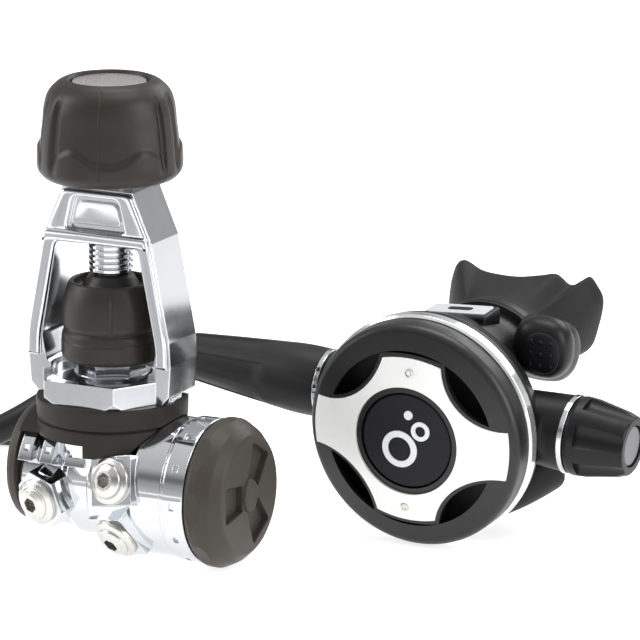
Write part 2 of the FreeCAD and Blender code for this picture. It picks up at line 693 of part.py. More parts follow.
def exhaust_tee():
    """Rubber tee that carries bubbles away behind the chin; its two mouths open backward."""
    outer = []
    inner = []
    for x in (-TEE_REACH, -TEE_REACH / 2, 0.0, TEE_REACH / 2, TEE_REACH):
        share = 1.0 - (x / TEE_REACH) ** 2
        centre_y = 46.0 - 19.0 * share
        centre_z = -21.0 - 10.3 * share
        outer.append((centre_y, centre_z, x, 7.2 + 5.4 * share, 6.4 + 5.2 * share))
        inner.append((centre_y, centre_z, x, 5.6 + 5.4 * share, 4.8 + 5.2 * share))
    to_side = Placement(HOME, Rotation(Vector(0, 1, 0), Vector(0, 0, 1), Vector(1, 0, 0), "ZXY"))
    shell = lofted(outer)
    shell.Placement = to_side
    hollow = lofted(inner)
    hollow.Placement = to_side
    tee = shell.cut(hollow).cut(case_outer())
    for side in (-1, 1):
        slanted = block(0, 40, -40, 40, -60, 20)
        slanted.rotate(HOME, Z, 60.0)
        slanted.translate(Vector(27.0, 46.0, 0))
        tee = tee.cut(slanted if side == 1 else slanted.mirror(HOME, X))
    return largest(tee)


def exhaust_valve():
    flap = turned([(0, 0), (8.6, 0), (8.6, 0.6), (0, 1.0)])
    return aim(flap, EXHAUST_ROOT + EXHAUST_AXIS * 19.8, EXHAUST_AXIS)


def valve_train():
    """Parts on the valve tube's axis, from the hose side to the adjusting knob."""
    inlet = turned([(2.0, -55.0), (6.0, -55.0), (6.0, -46.9), (8.15, -46.4), (8.15, -30.0), (2.0, -30.0)])
    nodes["valve_inlet"] = [seated(along_tube(inlet))]
    barrel = along_tube(tube(8.15, 5.6, -29.9, 40.0))
    barrel = barrel.cut(block(-5.0, 19.5, 5.0, 10.8, TUBE_Z - 4.5, TUBE_Z + 4.5))
    for side in (-1, 1):
        middle = TUBE_Z + side * 7.9
        barrel = barrel.cut(block(LEVER_PIVOT_X - 3.1, LEVER_PIVOT_X + 3.1, 5, 30, middle - 1.3, middle + 1.3))
    nodes["valve_barrel"] = [seated(largest(barrel))]
    nodes["inlet_orifice"] = [seated(along_tube(turned([
        (1.8, -29.8), (5.5, -29.8), (5.5, -22.0), (3.0, -20.4), (1.8, -20.4)])))]
    nodes["demand_poppet"] = [seated(along_tube(turned([
        (0, -20.0), (4.4, -20.0), (4.4, -16.0), (2.2, -16.0), (2.2, 12.0), (0, 12.0)])))]
    nodes["demand_spring"] = [seated(along_tube(spring(3.7, 0.8, 0.2, 19.6, 9)))]
    nodes["adjusting_screw"] = [seated(along_tube(turned([
        (0, 20.2), (5.5, 20.2), (5.5, 26.0), (3.4, 26.0), (3.4, 47.0), (0, 47.0)])))]
    nodes["hose_side_ring"] = [seated(along_tube(tube(12.5, 8.3, HOSE_RING_END, TUBE_LEFT - 0.05)))]
    nodes["knob_side_ring"] = [seated(along_tube(tube(13.9, 8.3, TUBE_RIGHT + 0.05, 49.8)))]


def demand_lever():
    """Forked lever: feet in the barrel's slots and a long arm up to the diaphragm plate."""
    low = LEVER_PIVOT_X - 1.4
    high = LEVER_PIVOT_X + 1.4
    feet = [block(low, high, 8.0, 23.0, TUBE_Z + z, TUBE_Z + z + 1.2) for z in (-8.4, 7.2)]
    bridge = block(low, high, 8.0, 9.4, TUBE_Z - 8.4, TUBE_Z + 8.4)
    arm = prism([(high, 8.0), (high, 9.4), (-2.0, 7.2), (-2.0, 6.0)], TUBE_Z - 2.5, TUBE_Z + 2.5)
    return joined(feet + [bridge, arm])


def adjusting_knob():
    body = turned([
        (0, 41.0), (7.9, 41.0), (7.9, KNOB_LEFT), (13.4, KNOB_LEFT), (13.9, 51.6, 0.6), (13.6, 56.0), (11.4, 67.6, 2.0),
        (10.2, KNOB_RIGHT, 1.2), (7.4, KNOB_RIGHT), (7.2, 69.4), (0, 69.4),
    ])
    for index in range(6):
        flute = Part.makeCylinder(6.0, 24.0, Vector(17.6, 0, 54.5), Vector(-0.12, 0, 1))
        flute.rotate(HOME, Z, 60.0 * index + 10.0)
        body = body.cut(flute)
    return body.cut(Part.makeCylinder(3.5, 10.0, Z * 40.0))


def venturi_lever():
    hub = turned([(0, 23.6), (9.6, 23.6), (10.2, 25.0), (10.2, 36.0, 2.0), (8.0, 38.6, 1.5), (0, 38.6)])
    hub = aim(hub, Vector(0, VENTURI_Y, VENTURI_Z), X)
    pad = prism([(24.0, 16.4, 3.0), (38.6, 16.2, 6.0), (42.2, 27.0, 6.0), (36.4, 34.2, 5.0), (24.0, 33.8, 3.0)],
                -34.5, -28.6)
    shaft = Part.makeCylinder(3.0, 16.0, Vector(8.0, VENTURI_Y, VENTURI_Z), X)
    vane = block(-1.0, 8.0, VENTURI_Y - 0.8, VENTURI_Y + 0.8, VENTURI_Z - 3.5, VENTURI_Z + 3.5)
    solid = joined([hub, faced(pad), shaft])
    bore = Part.makeCylinder(3.4, 40.0, Vector(8.0, VENTURI_Y, VENTURI_Z), X)
    for angle in (0.0, 12.0, 24.0, 36.0, VENTURI_TRAVEL):
        keep_out = case_outer().cut(bore)
        keep_out.rotate(Vector(0, VENTURI_Y, VENTURI_Z), X, -angle)
        solid = largest(solid.cut(keep_out))
    for side in (-1, 0, 1):
        for row in (-1, 0, 1):
            dot = Part.makeSphere(0.9, Vector(32.8 + 4.4 * side, 28.7, 25.4 + 4.6 * row))
            solid = solid.fuse(dot)
    nodes["venturi_vane"] = [seated(vane)]
    nodes["venturi_lever"] = [seated(solid)]


def mouthpiece():
    outer = lofted([
        (NECK_X, NECK_Z, -45.5, 19.2, 14.6), (NECK_X, NECK_Z, -52.0, 18.6, 14.0),
        (3.4, 19.0, -58.0, 20.0, 13.0), (4.6, 20.4, -66.0, 26.6, 13.6), (5.0, 21.0, -72.0, 27.4, 13.8),
    ])
    wings = lofted([(5.0, 21.0, -71.9, 27.4, 13.8), (5.0, 21.0, -80.0, 26.4, 12.4)])
    mouth = lofted([(5.0, 21.0, -70.0, 24.6, 10.6), (5.0, 21.0, -81.0, 23.6, 9.8)])
    front_gap = lofted([(5.0, 18.0, -70.0, 16.0, 26.0), (5.0, 18.0, -82.0, 18.0, 26.0)])
    wings = wings.cut(mouth).cut(front_gap)
    airway = lofted([
        (NECK_X, NECK_Z, -52.95, 14.0, 9.4), (4.6, 20.4, -64.0, 15.0, 8.2), (5.0, 21.0, -73.0, 16.0, 8.0),
    ])
    pocket = lofted([(NECK_X, NECK_Z, -45.0, 17.1, 12.6), (NECK_X, NECK_Z, -53.05, 17.1, 12.6)])
    solid = outer.multiFuse(wings.Solids).cut(airway).cut(pocket)
    band = lofted([(NECK_X, NECK_Z, -47.4, 21.0, 17.0), (NECK_X, NECK_Z, -51.0, 21.0, 17.0)])
    inside = lofted([(NECK_X, NECK_Z, -47.3, 18.2, 13.6), (NECK_X, NECK_Z, -51.1, 18.2, 13.6)])
    solid = solid.cut(band.cut(inside))
    strap_outer = lofted([(NECK_X, NECK_Z, -47.5, 19.3, 14.7), (NECK_X, NECK_Z, -50.9, 19.3, 14.7)])
    strap_inner = lofted([(NECK_X, NECK_Z, -47.3, 18.25, 13.65), (NECK_X, NECK_Z, -51.1, 18.25, 13.65)])
    lock = block(-3.0, 3.0, 47.6, 50.8, 3.0, 4.6).cut(faced(strap_inner))
    nodes["mouthpiece"] = [seated(faced(largest(solid)))]
    nodes["mouthpiece_strap"] = [seated(faced(strap_outer.cut(strap_inner)).fuse(lock))]


def label_plate():
    """Pale pad on top of the housing, between the cover and the mouthpiece."""
    pad = block(-12.0, 10.0, 23.0, 31.0, 20.0, 45.0)
    return largest(pad.common(faced(case_crown(0.4))).cut(case_outer()))


def back_parts():
    nodes["housing"] = [seated(housing())]
    nodes["label_plate"] = [seated(label_plate())]
    nodes["exhaust_tee"] = [seated(exhaust_tee())]
    nodes["exhaust_valve"] = [seated(exhaust_valve())]
    valve_train()
    nodes["demand_lever"] = [seated(demand_lever())]
    nodes["adjusting_knob"] = [seated(along_tube(adjusting_knob()))]
    cap = turned([(0, 69.45), (7.0, 69.45), (7.0, 70.4, 0.5), (0, 70.4)])
    nodes["knob_end_cap"] = [seated(along_tube(cap))]
    venturi_lever()
    mouthpiece()


# ---- hose --------------------------------------------------------------------------------------

def hose_tube():
    """Straight runs joined by tangent arcs, as wide as each pair of runs allows."""
    points = [Vector(*point) for point in HOSE_ROUTE]
    edges = []
    radii = []
    last = points[0]
    for index in range(1, len(points) - 1):
        here = points[index]
        back = points[index - 1] - here
        ahead = points[index + 1] - here
        shorter = min(back.Length, ahead.Length)
        back.normalize()
        ahead.normalize()
        half = back.getAngle(ahead) / 2
        reach = 0.45 * shorter
        radius = reach * math.tan(half)
        middle = here + (back + ahead).normalize() * (radius / math.sin(half) - radius)
        start = here + back * reach
        end = here + ahead * reach
        edges.append(Part.LineSegment(last, start).toShape())
        edges.append(Part.Arc(start, middle, end).toShape())
        radii.append(round(radius, 1))
        last = end
    edges.append(Part.LineSegment(last, points[-1]).toShape())
    path = Part.Wire(edges)
    circle = Part.makeCircle(HOSE_DIAMETER / 2, points[0], points[1] - points[0])
    hose = path.makePipeShell([Part.Wire(circle)], True, False)
    section = math.pi * HOSE_DIAMETER ** 2 / 4
    print("hose radii", radii)
    print("hose length", round(path.Length, 1), "volume / section", round(hose.Volume / section, 1))
    return hose


def hose_parts():
    nodes["lp_hose"] = [hose_tube()]
    x, axis = HOSE_PORT
    fitting = turned([
        (2.0, 15.0), (LOW_THREAD - 0.02, 15.0), (LOW_THREAD - 0.02, PORT_FACE + 0.1),
        (9.0, PORT_FACE + 0.1), (9.0, 33.0), (6.0, 34.0), (6.0, 40.0), (2.0, 40.0),
    ]).common(prism(polygon(6, 15.9), 10, 34.0).fuse(Part.makeCylinder(6.0, 30.0, Z * 12.0)))
    nodes["hose_end_fitting"] = [aim(fitting, X * x, axis)]
    end = Vector(*HOSE_ROUTE[-1])
    run = end.distanceToPoint(X * x)
    crimp = turned([
        (2.0, 40.05), (7.4, 40.05, 0.8), (7.4, run + 14.0, 0.8), (5.1, run + 14.0), (5.1, run),
        (2.0, run),
    ])
    inner = aim(crimp, X * x, axis)
    sleeve_crimp = turned([
        (2.0, -74.0), (7.0, -74.0, 0.6), (7.0, -90.0, 0.6), (5.03, -90.0), (5.03, CRIMP_STEP),
        (2.0, CRIMP_STEP),
    ])
    nodes["hose_crimps"] = [inner, seated(along_tube(sleeve_crimp))]
    nut = turned([
        (6.05, -47.1), (9.4, -47.1), (9.4, -66.0), (7.0, -67.0), (7.0, -73.95), (2.0, -73.95),
        (2.0, -55.4), (6.05, -55.4),
    ])
    nodes["swivel_nut"] = [seated(along_tube(nut))]
    sleeve = turned([
        (9.45, -46.9), (12.3, -46.9, 0.5), (12.4, -56.0, 20.0), (9.2, -90.0, 30.0),
        (7.9, SLEEVE_END, 0.8), (5.1, SLEEVE_END), (5.1, -90.3), (7.15, -90.3), (7.15, -67.0),
        (9.45, -67.0),
    ])
    nodes["hose_protector"] = [seated(along_tube(sleeve))]


# ---- everything, in the object's own frame ------------------------------------------------------

def export_all():
    box = FreeCAD.BoundBox()
    for name, solids in nodes.items():
        pieces = [piece for shape in solids for piece in shape.Solids]
        shape = pieces[0] if len(pieces) == 1 else Part.makeCompound(pieces)
        shape.translate(ORIGIN_SHIFT)
        if name != "lp_hose":
            box.add(shape.BoundBox)
        if not shape.isValid():
            print("not valid:", name)
        shape.exportStep("parts/" + name + ".step")
    print("nodes", len(nodes), "box", box)


os.makedirs("parts", exist_ok=True)
nodes["body_block"] = [body_block()]
plugs_and_seals()
first_stage_caps()
first_stage_internals()
first_stage_yoke()
front_parts()
diaphragm_parts()
back_parts()
hose_parts()
export_all()
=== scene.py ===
import json
import math

import bmesh
import bpy
from mathutils import Matrix, Vector


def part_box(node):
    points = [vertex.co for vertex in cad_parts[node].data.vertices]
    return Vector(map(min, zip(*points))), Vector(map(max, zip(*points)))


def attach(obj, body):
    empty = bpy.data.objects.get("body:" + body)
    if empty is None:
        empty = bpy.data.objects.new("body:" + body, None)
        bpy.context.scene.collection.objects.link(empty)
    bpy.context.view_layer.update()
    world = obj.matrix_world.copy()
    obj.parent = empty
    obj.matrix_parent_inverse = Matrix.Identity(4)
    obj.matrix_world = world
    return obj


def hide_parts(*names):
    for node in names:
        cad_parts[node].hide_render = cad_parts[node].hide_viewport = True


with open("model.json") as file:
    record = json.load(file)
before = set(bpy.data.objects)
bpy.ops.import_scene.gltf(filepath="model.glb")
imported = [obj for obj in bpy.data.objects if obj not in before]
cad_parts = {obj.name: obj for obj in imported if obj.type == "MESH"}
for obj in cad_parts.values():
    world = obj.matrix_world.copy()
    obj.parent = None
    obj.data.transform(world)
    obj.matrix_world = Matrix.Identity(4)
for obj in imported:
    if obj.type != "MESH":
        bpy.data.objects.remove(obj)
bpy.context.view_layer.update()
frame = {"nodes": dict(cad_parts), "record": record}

MM = 0.001

# ---- places, all from the frame ----------------------------------------------------------------

joints = {joint["name"]: joint for joint in frame["record"]["behaviour"]["joints"]}


def middle(node):
    """Middle of a CAD node's box."""
    low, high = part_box(node)
    return (Vector(low) + Vector(high)) / 2


# first stage: the yoke screw's axis crosses the barrel's axis
KNOB_MIDDLE = middle("yoke_knob")
FIRST = Vector((KNOB_MIDDLE.x, KNOB_MIDDLE.y, middle("spanner_ring").z))
UPRIGHT = Matrix.Translation(FIRST)

# second stage: its own axes, x to the adjusting knob, y to the diver, z up
TUBE_Y = 18.0
TUBE_Z = 1.8
ACROSS = Vector(joints["hose_swivel"]["axis"]).normalized()
BACKWARD = Vector(joints["purge_press"]["axis"]).normalized()
UPWARD = ACROSS.cross(BACKWARD)
SECOND = Vector(joints["hose_swivel"]["pos_m"]) - BACKWARD * TUBE_Y * MM - UPWARD * TUBE_Z * MM
VALVE = Matrix.Translation(SECOND) @ Matrix((ACROSS, BACKWARD, UPWARD)).transposed().to_4x4()
FACED = VALVE @ Matrix.Rotation(math.radians(90), 4, "X")
TUBE = VALVE @ Matrix.Translation((0, TUBE_Y * MM, TUBE_Z * MM))
ALONG_TUBE = TUBE @ Matrix.Rotation(math.radians(90), 4, "Y")


def first_point(x, y, z):
    """World place of a point in millimetres from where the first stage's axes cross."""
    return UPRIGHT @ Vector((x * MM, y * MM, z * MM))


# ---- camera ------------------------------------------------------------------------------------

AZIMUTH = 27.0
ELEVATION = 14.0
DISTANCE = 1.79
LENS = 292.5
SENSOR = 36.0
FAR_CLIP = 50.0
# middle of the picture, in millimetres from where the first stage's axes cross
LOOK_AT = (57.5, 43.9, 52.2)


def make_camera():
    azimuth = math.radians(AZIMUTH)
    elevation = math.radians(ELEVATION)
    back = Vector((
        math.sin(azimuth) * math.cos(elevation),
        -math.cos(azimuth) * math.cos(elevation),
        math.sin(elevation),
    ))
    data = bpy.data.cameras.new("camera")
    data.lens = LENS
    data.sensor_width = SENSOR
    data.clip_end = FAR_CLIP
    camera = bpy.data.objects.new("camera", data)
    camera.location = first_point(*LOOK_AT) + back * DISTANCE
    camera.rotation_mode = "QUATERNION"
    camera.rotation_quaternion = back.to_track_quat("Z", "Y")
    bpy.context.scene.collection.objects.link(camera)
    bpy.context.scene.camera = camera


make_camera()

# ---- materials ---------------------------------------------------------------------------------

# the band of noise values that is spread over a material's colours and roughness
NOISE_LOW = 0.3
NOISE_HIGH = 0.7
BROAD_SCALE = 45.0
FINE_SHARE = 0.4
GRAIN_DEPTH = 0.0004


def link(tree, source, target):
    tree.links.new(source, target)


def colour_ramp(tree, factor, colour, vary):
    """Colour that runs a little darker and lighter with a noise factor."""
    ramp = tree.nodes.new("ShaderNodeValToRGB")
    low, high = ramp.color_ramp.elements
    low.position, high.position = NOISE_LOW, NOISE_HIGH
    low.color = [part * (1 - vary) for part in colour] + [1]
    high.color = [min(1, part * (1 + vary)) for part in colour] + [1]
    link(tree, factor, ramp.inputs["Fac"])
    return ramp.outputs["Color"]


def noise(tree, place, scale, detail):
    grain = tree.nodes.new("ShaderNodeTexNoise")
    grain.inputs["Scale"].default_value = scale
    grain.inputs["Detail"].default_value = detail
    link(tree, place, grain.inputs["Vector"])
    return grain.outputs["Fac"]


def surface(name, colour, rough, metal=0.0, grain=900.0, bump=0.05, vary=0.12, rough_vary=0.08,
            specular=0.5, edge=0.0, glow=0.0):
    """Principled surface with fine grain in its colour, roughness and relief.

    edge is the radius in millimetres by which corners look rounded.
    """
    material = bpy.data.materials.new(name)
    material.use_nodes = True
    tree = material.node_tree
    shader = tree.nodes["Principled BSDF"]
    shader.inputs["Metallic"].default_value = metal
    shader.inputs["Specular IOR Level"].default_value = specular
    place = tree.nodes.new("ShaderNodeTexCoord").outputs["Object"]
    fine = noise(tree, place, grain, 6.0)
    broad = noise(tree, place, BROAD_SCALE, 4.0)
    blend = tree.nodes.new("ShaderNodeMix")
    blend.data_type = "FLOAT"
    blend.inputs["Factor"].default_value = FINE_SHARE
    link(tree, broad, blend.inputs["A"])
    link(tree, fine, blend.inputs["B"])
    mixed = blend.outputs["Result"]
    tone = colour_ramp(tree, mixed, colour, vary)
    link(tree, tone, shader.inputs["Base Color"])
    spread = tree.nodes.new("ShaderNodeMapRange")
    spread.inputs["From Min"].default_value = NOISE_LOW
    spread.inputs["From Max"].default_value = NOISE_HIGH
    spread.inputs["To Min"].default_value = max(0.0, rough - rough_vary)
    spread.inputs["To Max"].default_value = min(1.0, rough + rough_vary)
    link(tree, mixed, spread.inputs["Value"])
    link(tree, spread.outputs["Result"], shader.inputs["Roughness"])
    relief = tree.nodes.new("ShaderNodeBump")
    relief.inputs["Strength"].default_value = bump
    relief.inputs["Distance"].default_value = GRAIN_DEPTH
    link(tree, fine, relief.inputs["Height"])
    if edge:
        corner = tree.nodes.new("ShaderNodeBevel")
        corner.samples = 4
        corner.inputs["Radius"].default_value = edge * MM
        link(tree, corner.outputs["Normal"], relief.inputs["Normal"])
    if glow:
        link(tree, tone, shader.inputs["Emission Color"])
        shader.inputs["Emission Strength"].default_value = glow
    link(tree, relief.outputs["Normal"], shader.inputs["Normal"])
    return material


LOOKS = {
    "chrome": dict(colour=(0.66, 0.68, 0.70), rough=0.07, metal=1.0, grain=300, bump=0.006, vary=0.03,
                   rough_vary=0.03, edge=0.5),
    "crimp_steel": dict(colour=(0.50, 0.50, 0.49), rough=0.3, metal=1.0, grain=700, bump=0.05),
    "satin_steel": dict(colour=(0.62, 0.61, 0.58), rough=0.26, metal=1.0, grain=1500, bump=0.03,
                        vary=0.06, edge=0.25),
    "seal_rubber": dict(colour=(0.02, 0.02, 0.02), rough=0.6),
    "dark_plastic": dict(colour=(0.050, 0.043, 0.036), rough=0.42, grain=2600, bump=0.10, vary=0.12,
                         specular=0.22, edge=0.5),
    "knob_plastic": dict(colour=(0.026, 0.022, 0.018), rough=0.40, grain=2600, bump=0.12, vary=0.14,
                         specular=0.26),
    "boot_rubber": dict(colour=(0.024, 0.021, 0.018), rough=0.50, grain=2200, bump=0.12, vary=0.14,
                        specular=0.16, edge=0.5),
    "brass": dict(colour=(0.68, 0.50, 0.22), rough=0.28, metal=1.0, grain=900, bump=0.04),
    "spring_steel": dict(colour=(0.45, 0.45, 0.45), rough=0.3, metal=1.0),
    "sintered_bronze": dict(colour=(0.50, 0.35, 0.16), rough=0.6, metal=1.0, grain=3500, bump=0.6,
                            vary=0.4),
    "hose_rubber": dict(colour=(0.012, 0.012, 0.013), rough=0.42, grain=1400, bump=0.10, vary=0.15,
                        specular=0.25),
    "sleeve_rubber": dict(colour=(0.018, 0.018, 0.019), rough=0.44, grain=1800, bump=0.12, vary=0.14,
                          specular=0.22),
    "badge_metal": dict(colour=(0.78, 0.76, 0.73), rough=0.24, metal=1.0, grain=1600, bump=0.05),
    "black_plastic": dict(colour=(0.0065, 0.0065, 0.0072), rough=0.36, grain=3000, bump=0.10, vary=0.2,
                          specular=0.25),
    "ring_plastic": dict(colour=(0.0065, 0.0065, 0.0072), rough=0.38, grain=3000, bump=0.10, vary=0.2,
                         specular=0.5),
    "button_rubber": dict(colour=(0.010, 0.010, 0.012), rough=0.46, grain=2600, bump=0.10, vary=0.15,
                          specular=0.2),
    "emblem_white": dict(colour=(0.78, 0.79, 0.80), rough=0.32, grain=1200, bump=0.03, vary=0.04),
    "bright_plate": dict(colour=(0.92, 0.92, 0.89), rough=0.34, metal=0.15, grain=900, bump=0.01,
                         vary=0.03, rough_vary=0.05),
    "silicone": dict(colour=(0.03, 0.03, 0.03), rough=0.5),
    "black_rubber": dict(colour=(0.009, 0.009, 0.010), rough=0.48, grain=2200, bump=0.12, vary=0.2,
                         specular=0.2),
    "mouthpiece_silicone": dict(colour=(0.015, 0.015, 0.016), rough=0.55, grain=1600, bump=0.12,
                                vary=0.16, specular=0.2),
    "strap_nylon": dict(colour=(0.010, 0.010, 0.010), rough=0.35, grain=1500, bump=0.08, specular=0.25),
    "rim_chrome": dict(colour=(0.82, 0.83, 0.84), rough=0.16, metal=0.85, grain=300, bump=0.006,
                       vary=0.03, rough_vary=0.03),
    "yoke_chrome": dict(colour=(0.68, 0.70, 0.72), rough=0.13, metal=1.0, grain=300, bump=0.006,
                        vary=0.03, rough_vary=0.03, edge=0.6),
    "end_disc": dict(colour=(0.16, 0.16, 0.165), rough=0.38, metal=0.6, grain=900, bump=0.03,
                     vary=0.08),
    "label_grey": dict(colour=(0.55, 0.56, 0.57), rough=0.35, grain=900, bump=0.03, vary=0.05),
}
MATERIALS = {name: surface(name, **look) for name, look in LOOKS.items()}


def dress_frame():
    """Gives every CAD node its slot's material, or a finish of its own."""
    finishes = {
        "chrome_rim": "rim_chrome",
        "cover_ring": "ring_plastic",
        "yoke": "yoke_chrome",
        "knob_end_cap": "end_disc",
    }
    slots = {part["node"]: part["material_slot"] for part in frame["record"]["subparts"]}
    for node, piece in frame["nodes"].items():
        piece.data.materials.clear()
        piece.data.materials.append(MATERIALS[finishes.get(node, slots[node])])


dress_frame()

# ---- mesh tools --------------------------------------------------------------------------------


def smooth(low, high, value):
    """Soft step from 0 at low to 1 at high."""
    share = min(1.0, max(0.0, (value - low) / (high - low)))
    return share * share * (3 - 2 * share)


def bump_at(value, centre, width):
    """Bell curve of height 1 about a centre."""
    return math.exp(-((value - centre) / width) ** 2)


def rounded(points, radius, closed=False, steps=6):
    """Points with each corner rounded by a short curve; a third number is that corner's own radius."""
    result = []
    count = len(points)
    for index, point in enumerate(points):
        here = Vector(point[:2])
        if not closed and index in (0, count - 1):
            result.append((here.x, here.y))
            continue
        back = Vector(points[index - 1][:2]) - here
        ahead = Vector(points[(index + 1) % count][:2]) - here
        size = point[2] if len(point) > 2 else radius
        reach = min(size, back.length * 0.48, ahead.length * 0.48)
        first = here + back.normalized() * reach
        last = here + ahead.normalized() * reach
        for step in range(steps + 1):
            share = step / steps
            spot = first * (1 - share) ** 2 + here * (2 * share * (1 - share)) + last * share ** 2
            result.append((spot.x, spot.y))
    return result


def add_piece(name, verts, faces, place, material, body, replaced=(), sharp=35.0):
    """Mesh in millimetres, placed, shaded smooth up to an angle, and riding on a body."""
    data = bpy.data.meshes.new(name)
    data.from_pydata([place @ (Vector(vert) * MM) for vert in verts], [], faces)
    data.validate()
    sort = bmesh.new()
    sort.from_mesh(data)
    bmesh.ops.remove_doubles(sort, verts=sort.verts, dist=1e-7)
    bmesh.ops.recalc_face_normals(sort, faces=sort.faces)
    sort.to_mesh(data)
    sort.free()
    data.shade_smooth()
    data.set_sharp_from_angle(angle=math.radians(sharp))
    data.materials.append(MATERIALS[material])
    piece = bpy.data.objects.new(name, data)
    bpy.context.scene.collection.objects.link(piece)
    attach(piece, body)
    if replaced:
        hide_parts(*replaced)
    return piece


def rings_to_mesh(rings, closed=False):
    """Quads between rings of equal count; closed joins the last ring to the first."""
    count = len(rings[0])
    verts = [vert for ring in rings for vert in ring]
    faces = []
    for level in range(len(rings) if closed else len(rings) - 1):
        low = level * count
        high = (level + 1) % len(rings) * count
        for step in range(count):
            ahead = (step + 1) % count
            faces.append((low + step, low + ahead, high + ahead, high + step))
    return verts, faces


def lathe(profile, reshape=None, steps=180):
    """Rings round the Z axis from (radius, height) points.

    reshape(degrees, radius, height) gives each point's new radius.
    """
    rings = []
    for radius, height in profile:
        ring = []
        for step in range(steps):
            degrees = 360.0 * step / steps
            far = reshape(degrees, radius, height) if reshape else radius
            angle = math.radians(degrees)
            ring.append((far * math.cos(angle), far * math.sin(angle), height))
        rings.append(ring)
    return rings_to_mesh(rings)


def refine(points, longest):
    """Extra points along a profile so that no step is longer than a length."""
    result = [points[0]]
    for start, end in zip(points, points[1:]):
        count = max(1, math.ceil((Vector(end) - Vector(start)).length / longest))
        for step in range(1, count + 1):
            share = step / count
            spot = Vector(start).lerp(Vector(end), share)
            result.append((spot.x, spot.y))
    return result


def plate(outlines, low, high, bevel):
    """Flat plate between two heights with rounded edges; outlines after the first are holes."""
    data = bpy.data.curves.new("plate", "CURVE")
    data.dimensions = "2D"
    data.fill_mode = "BOTH"
    data.extrude = (high - low) / 2 - bevel
    data.bevel_depth = bevel
    data.bevel_resolution = 3
    data.offset = -bevel
    for outline in outlines:
        spline = data.splines.new("POLY")
        spline.points.add(len(outline) - 1)
        for point, (x, y) in zip(spline.points, outline):
            point.co = (x, y, 0, 1)
        spline.use_cyclic_u = True
    holder = bpy.data.objects.new("plate", data)
    mesh = bpy.data.meshes.new_from_object(holder)
    shift = (high + low) / 2
    verts = [(vert.co.x, vert.co.y, vert.co.z + shift) for vert in mesh.vertices]
    faces = [tuple(face.vertices) for face in mesh.polygons]
    bpy.data.objects.remove(holder)
    bpy.data.curves.remove(data)
    bpy.data.meshes.remove(mesh)
    return verts, faces


# ---- yoke, knob and dust cap --------------------------------------------------------------------

FRONTED = UPRIGHT @ Matrix.Rotation(math.radians(90), 4, "X")


def both_sides(half):
    """Outline points, then their mirror images in the opposite order."""
    return half + [(-point[0],) + tuple(point[1:]) for point in reversed(half)]


def make_yoke_trim():
    """Raised rounded band round the window, a ridge bar above it, and a shield in the top panel."""
    legs = both_sides([
        (22.6, 43.0), (27.2, 43.0), (26.8, 52.0, 8.0), (20.4, 86.0, 3.0), (13.2, 102.4, 2.0),
    ])
    inner = [(-22.6, 50.0, 6.0), (-15.9, 84.0, 2.5), (15.9, 84.0, 2.5), (22.6, 50.0, 6.0)]
    panel = rounded([(-11.6, 88.6), (11.6, 88.6), (8.8, 100.2), (-8.8, 100.2)], 2.2, closed=True)
    verts, faces = plate([rounded(legs + inner, 0.6, closed=True), panel], 8.6, 11.0, 0.95)
    add_piece("yoke_band", verts, faces, FRONTED, "chrome", "first_stage")
    bar = rounded([
        (-21.0, 83.0), (-18.0, 84.2), (18.0, 84.2), (21.0, 83.0), (19.8, 88.4), (-19.8, 88.4),
    ], 1.6, closed=True)
    verts, faces = plate([bar], 9.0, 12.2, 1.3)
    add_piece("yoke_ridge", verts, faces, FRONTED, "chrome", "first_stage")
    shield = rounded([(-9.4, 90.4), (9.4, 90.4), (7.4, 98.6), (-7.4, 98.6)], 2.4, closed=True)
    verts, faces = plate([shield], 8.0, 9.3, 0.4)
    add_piece("yoke_shield", verts, faces, FRONTED, "chrome", "first_stage")


def knob_surface(degrees, radius, height):
    """Three shallow finger panels between ribs, each with side grooves, two thumb pads and a seam."""
    if radius < 17.5:
        return radius
    across = ((degrees + 10.0) % 120.0 - 60.0) / 60.0
    seat = (across - 0.12) / 0.84
    inside = max(0.0, 1 - abs(seat) ** 6)
    start = 112.5 + 4.5 * bump_at(abs(seat), 0.62, 0.3)
    hollow = smooth(start, start + 2.6, height) * (1 - smooth(124.0, 137.0, height))
    groove = smooth(107.5, 115.0, height) * (1 - smooth(131.0, 136.5, height))
    depth = hollow * 1.0 * inside + 1.5 * groove * (bump_at(seat, -1.0, 0.07) + bump_at(seat, 1.0, 0.07))
    depth += 0.25 * bump_at(across, 0.0, 0.012) * smooth(108.0, 110.0, height)
    return radius - depth


def make_knob():
    """Knob turned from (radius, height) points, with its finger panels pressed in."""
    profile = rounded([
        (5.1, 105.6), (21.8, 105.6, 1.4), (24.6, 108.2, 2.6), (25.0, 111.5, 2.0), (24.5, 120.0, 6.0),
        (23.1, 130.0, 6.0), (21.0, 135.6, 3.0), (17.4, 138.9, 1.8), (15.0, 139.8, 0.5), (14.3, 139.7, 0.3),
        (13.5, 138.6, 0.3), (13.2, 136.8), (5.1, 136.8),
    ], 1.0)
    verts, faces = lathe(refine(profile, 0.6), knob_surface, 720)
    add_piece("knob_body", verts, faces, UPRIGHT, "knob_plastic", "yoke_knob", ("yoke_knob",), 60.0)


def cap_surface(degrees, radius, height):
    """One fine mould seam down the cap's front."""
    if radius < 13.0:
        return radius
    across = (degrees + 61.0 + 180.0) % 360.0 - 180.0
    reach = smooth(53.5, 54.5, height) * (1 - smooth(66.0, 67.0, height))
    return radius - 0.3 * bump_at(across, 0.0, 1.1) * reach


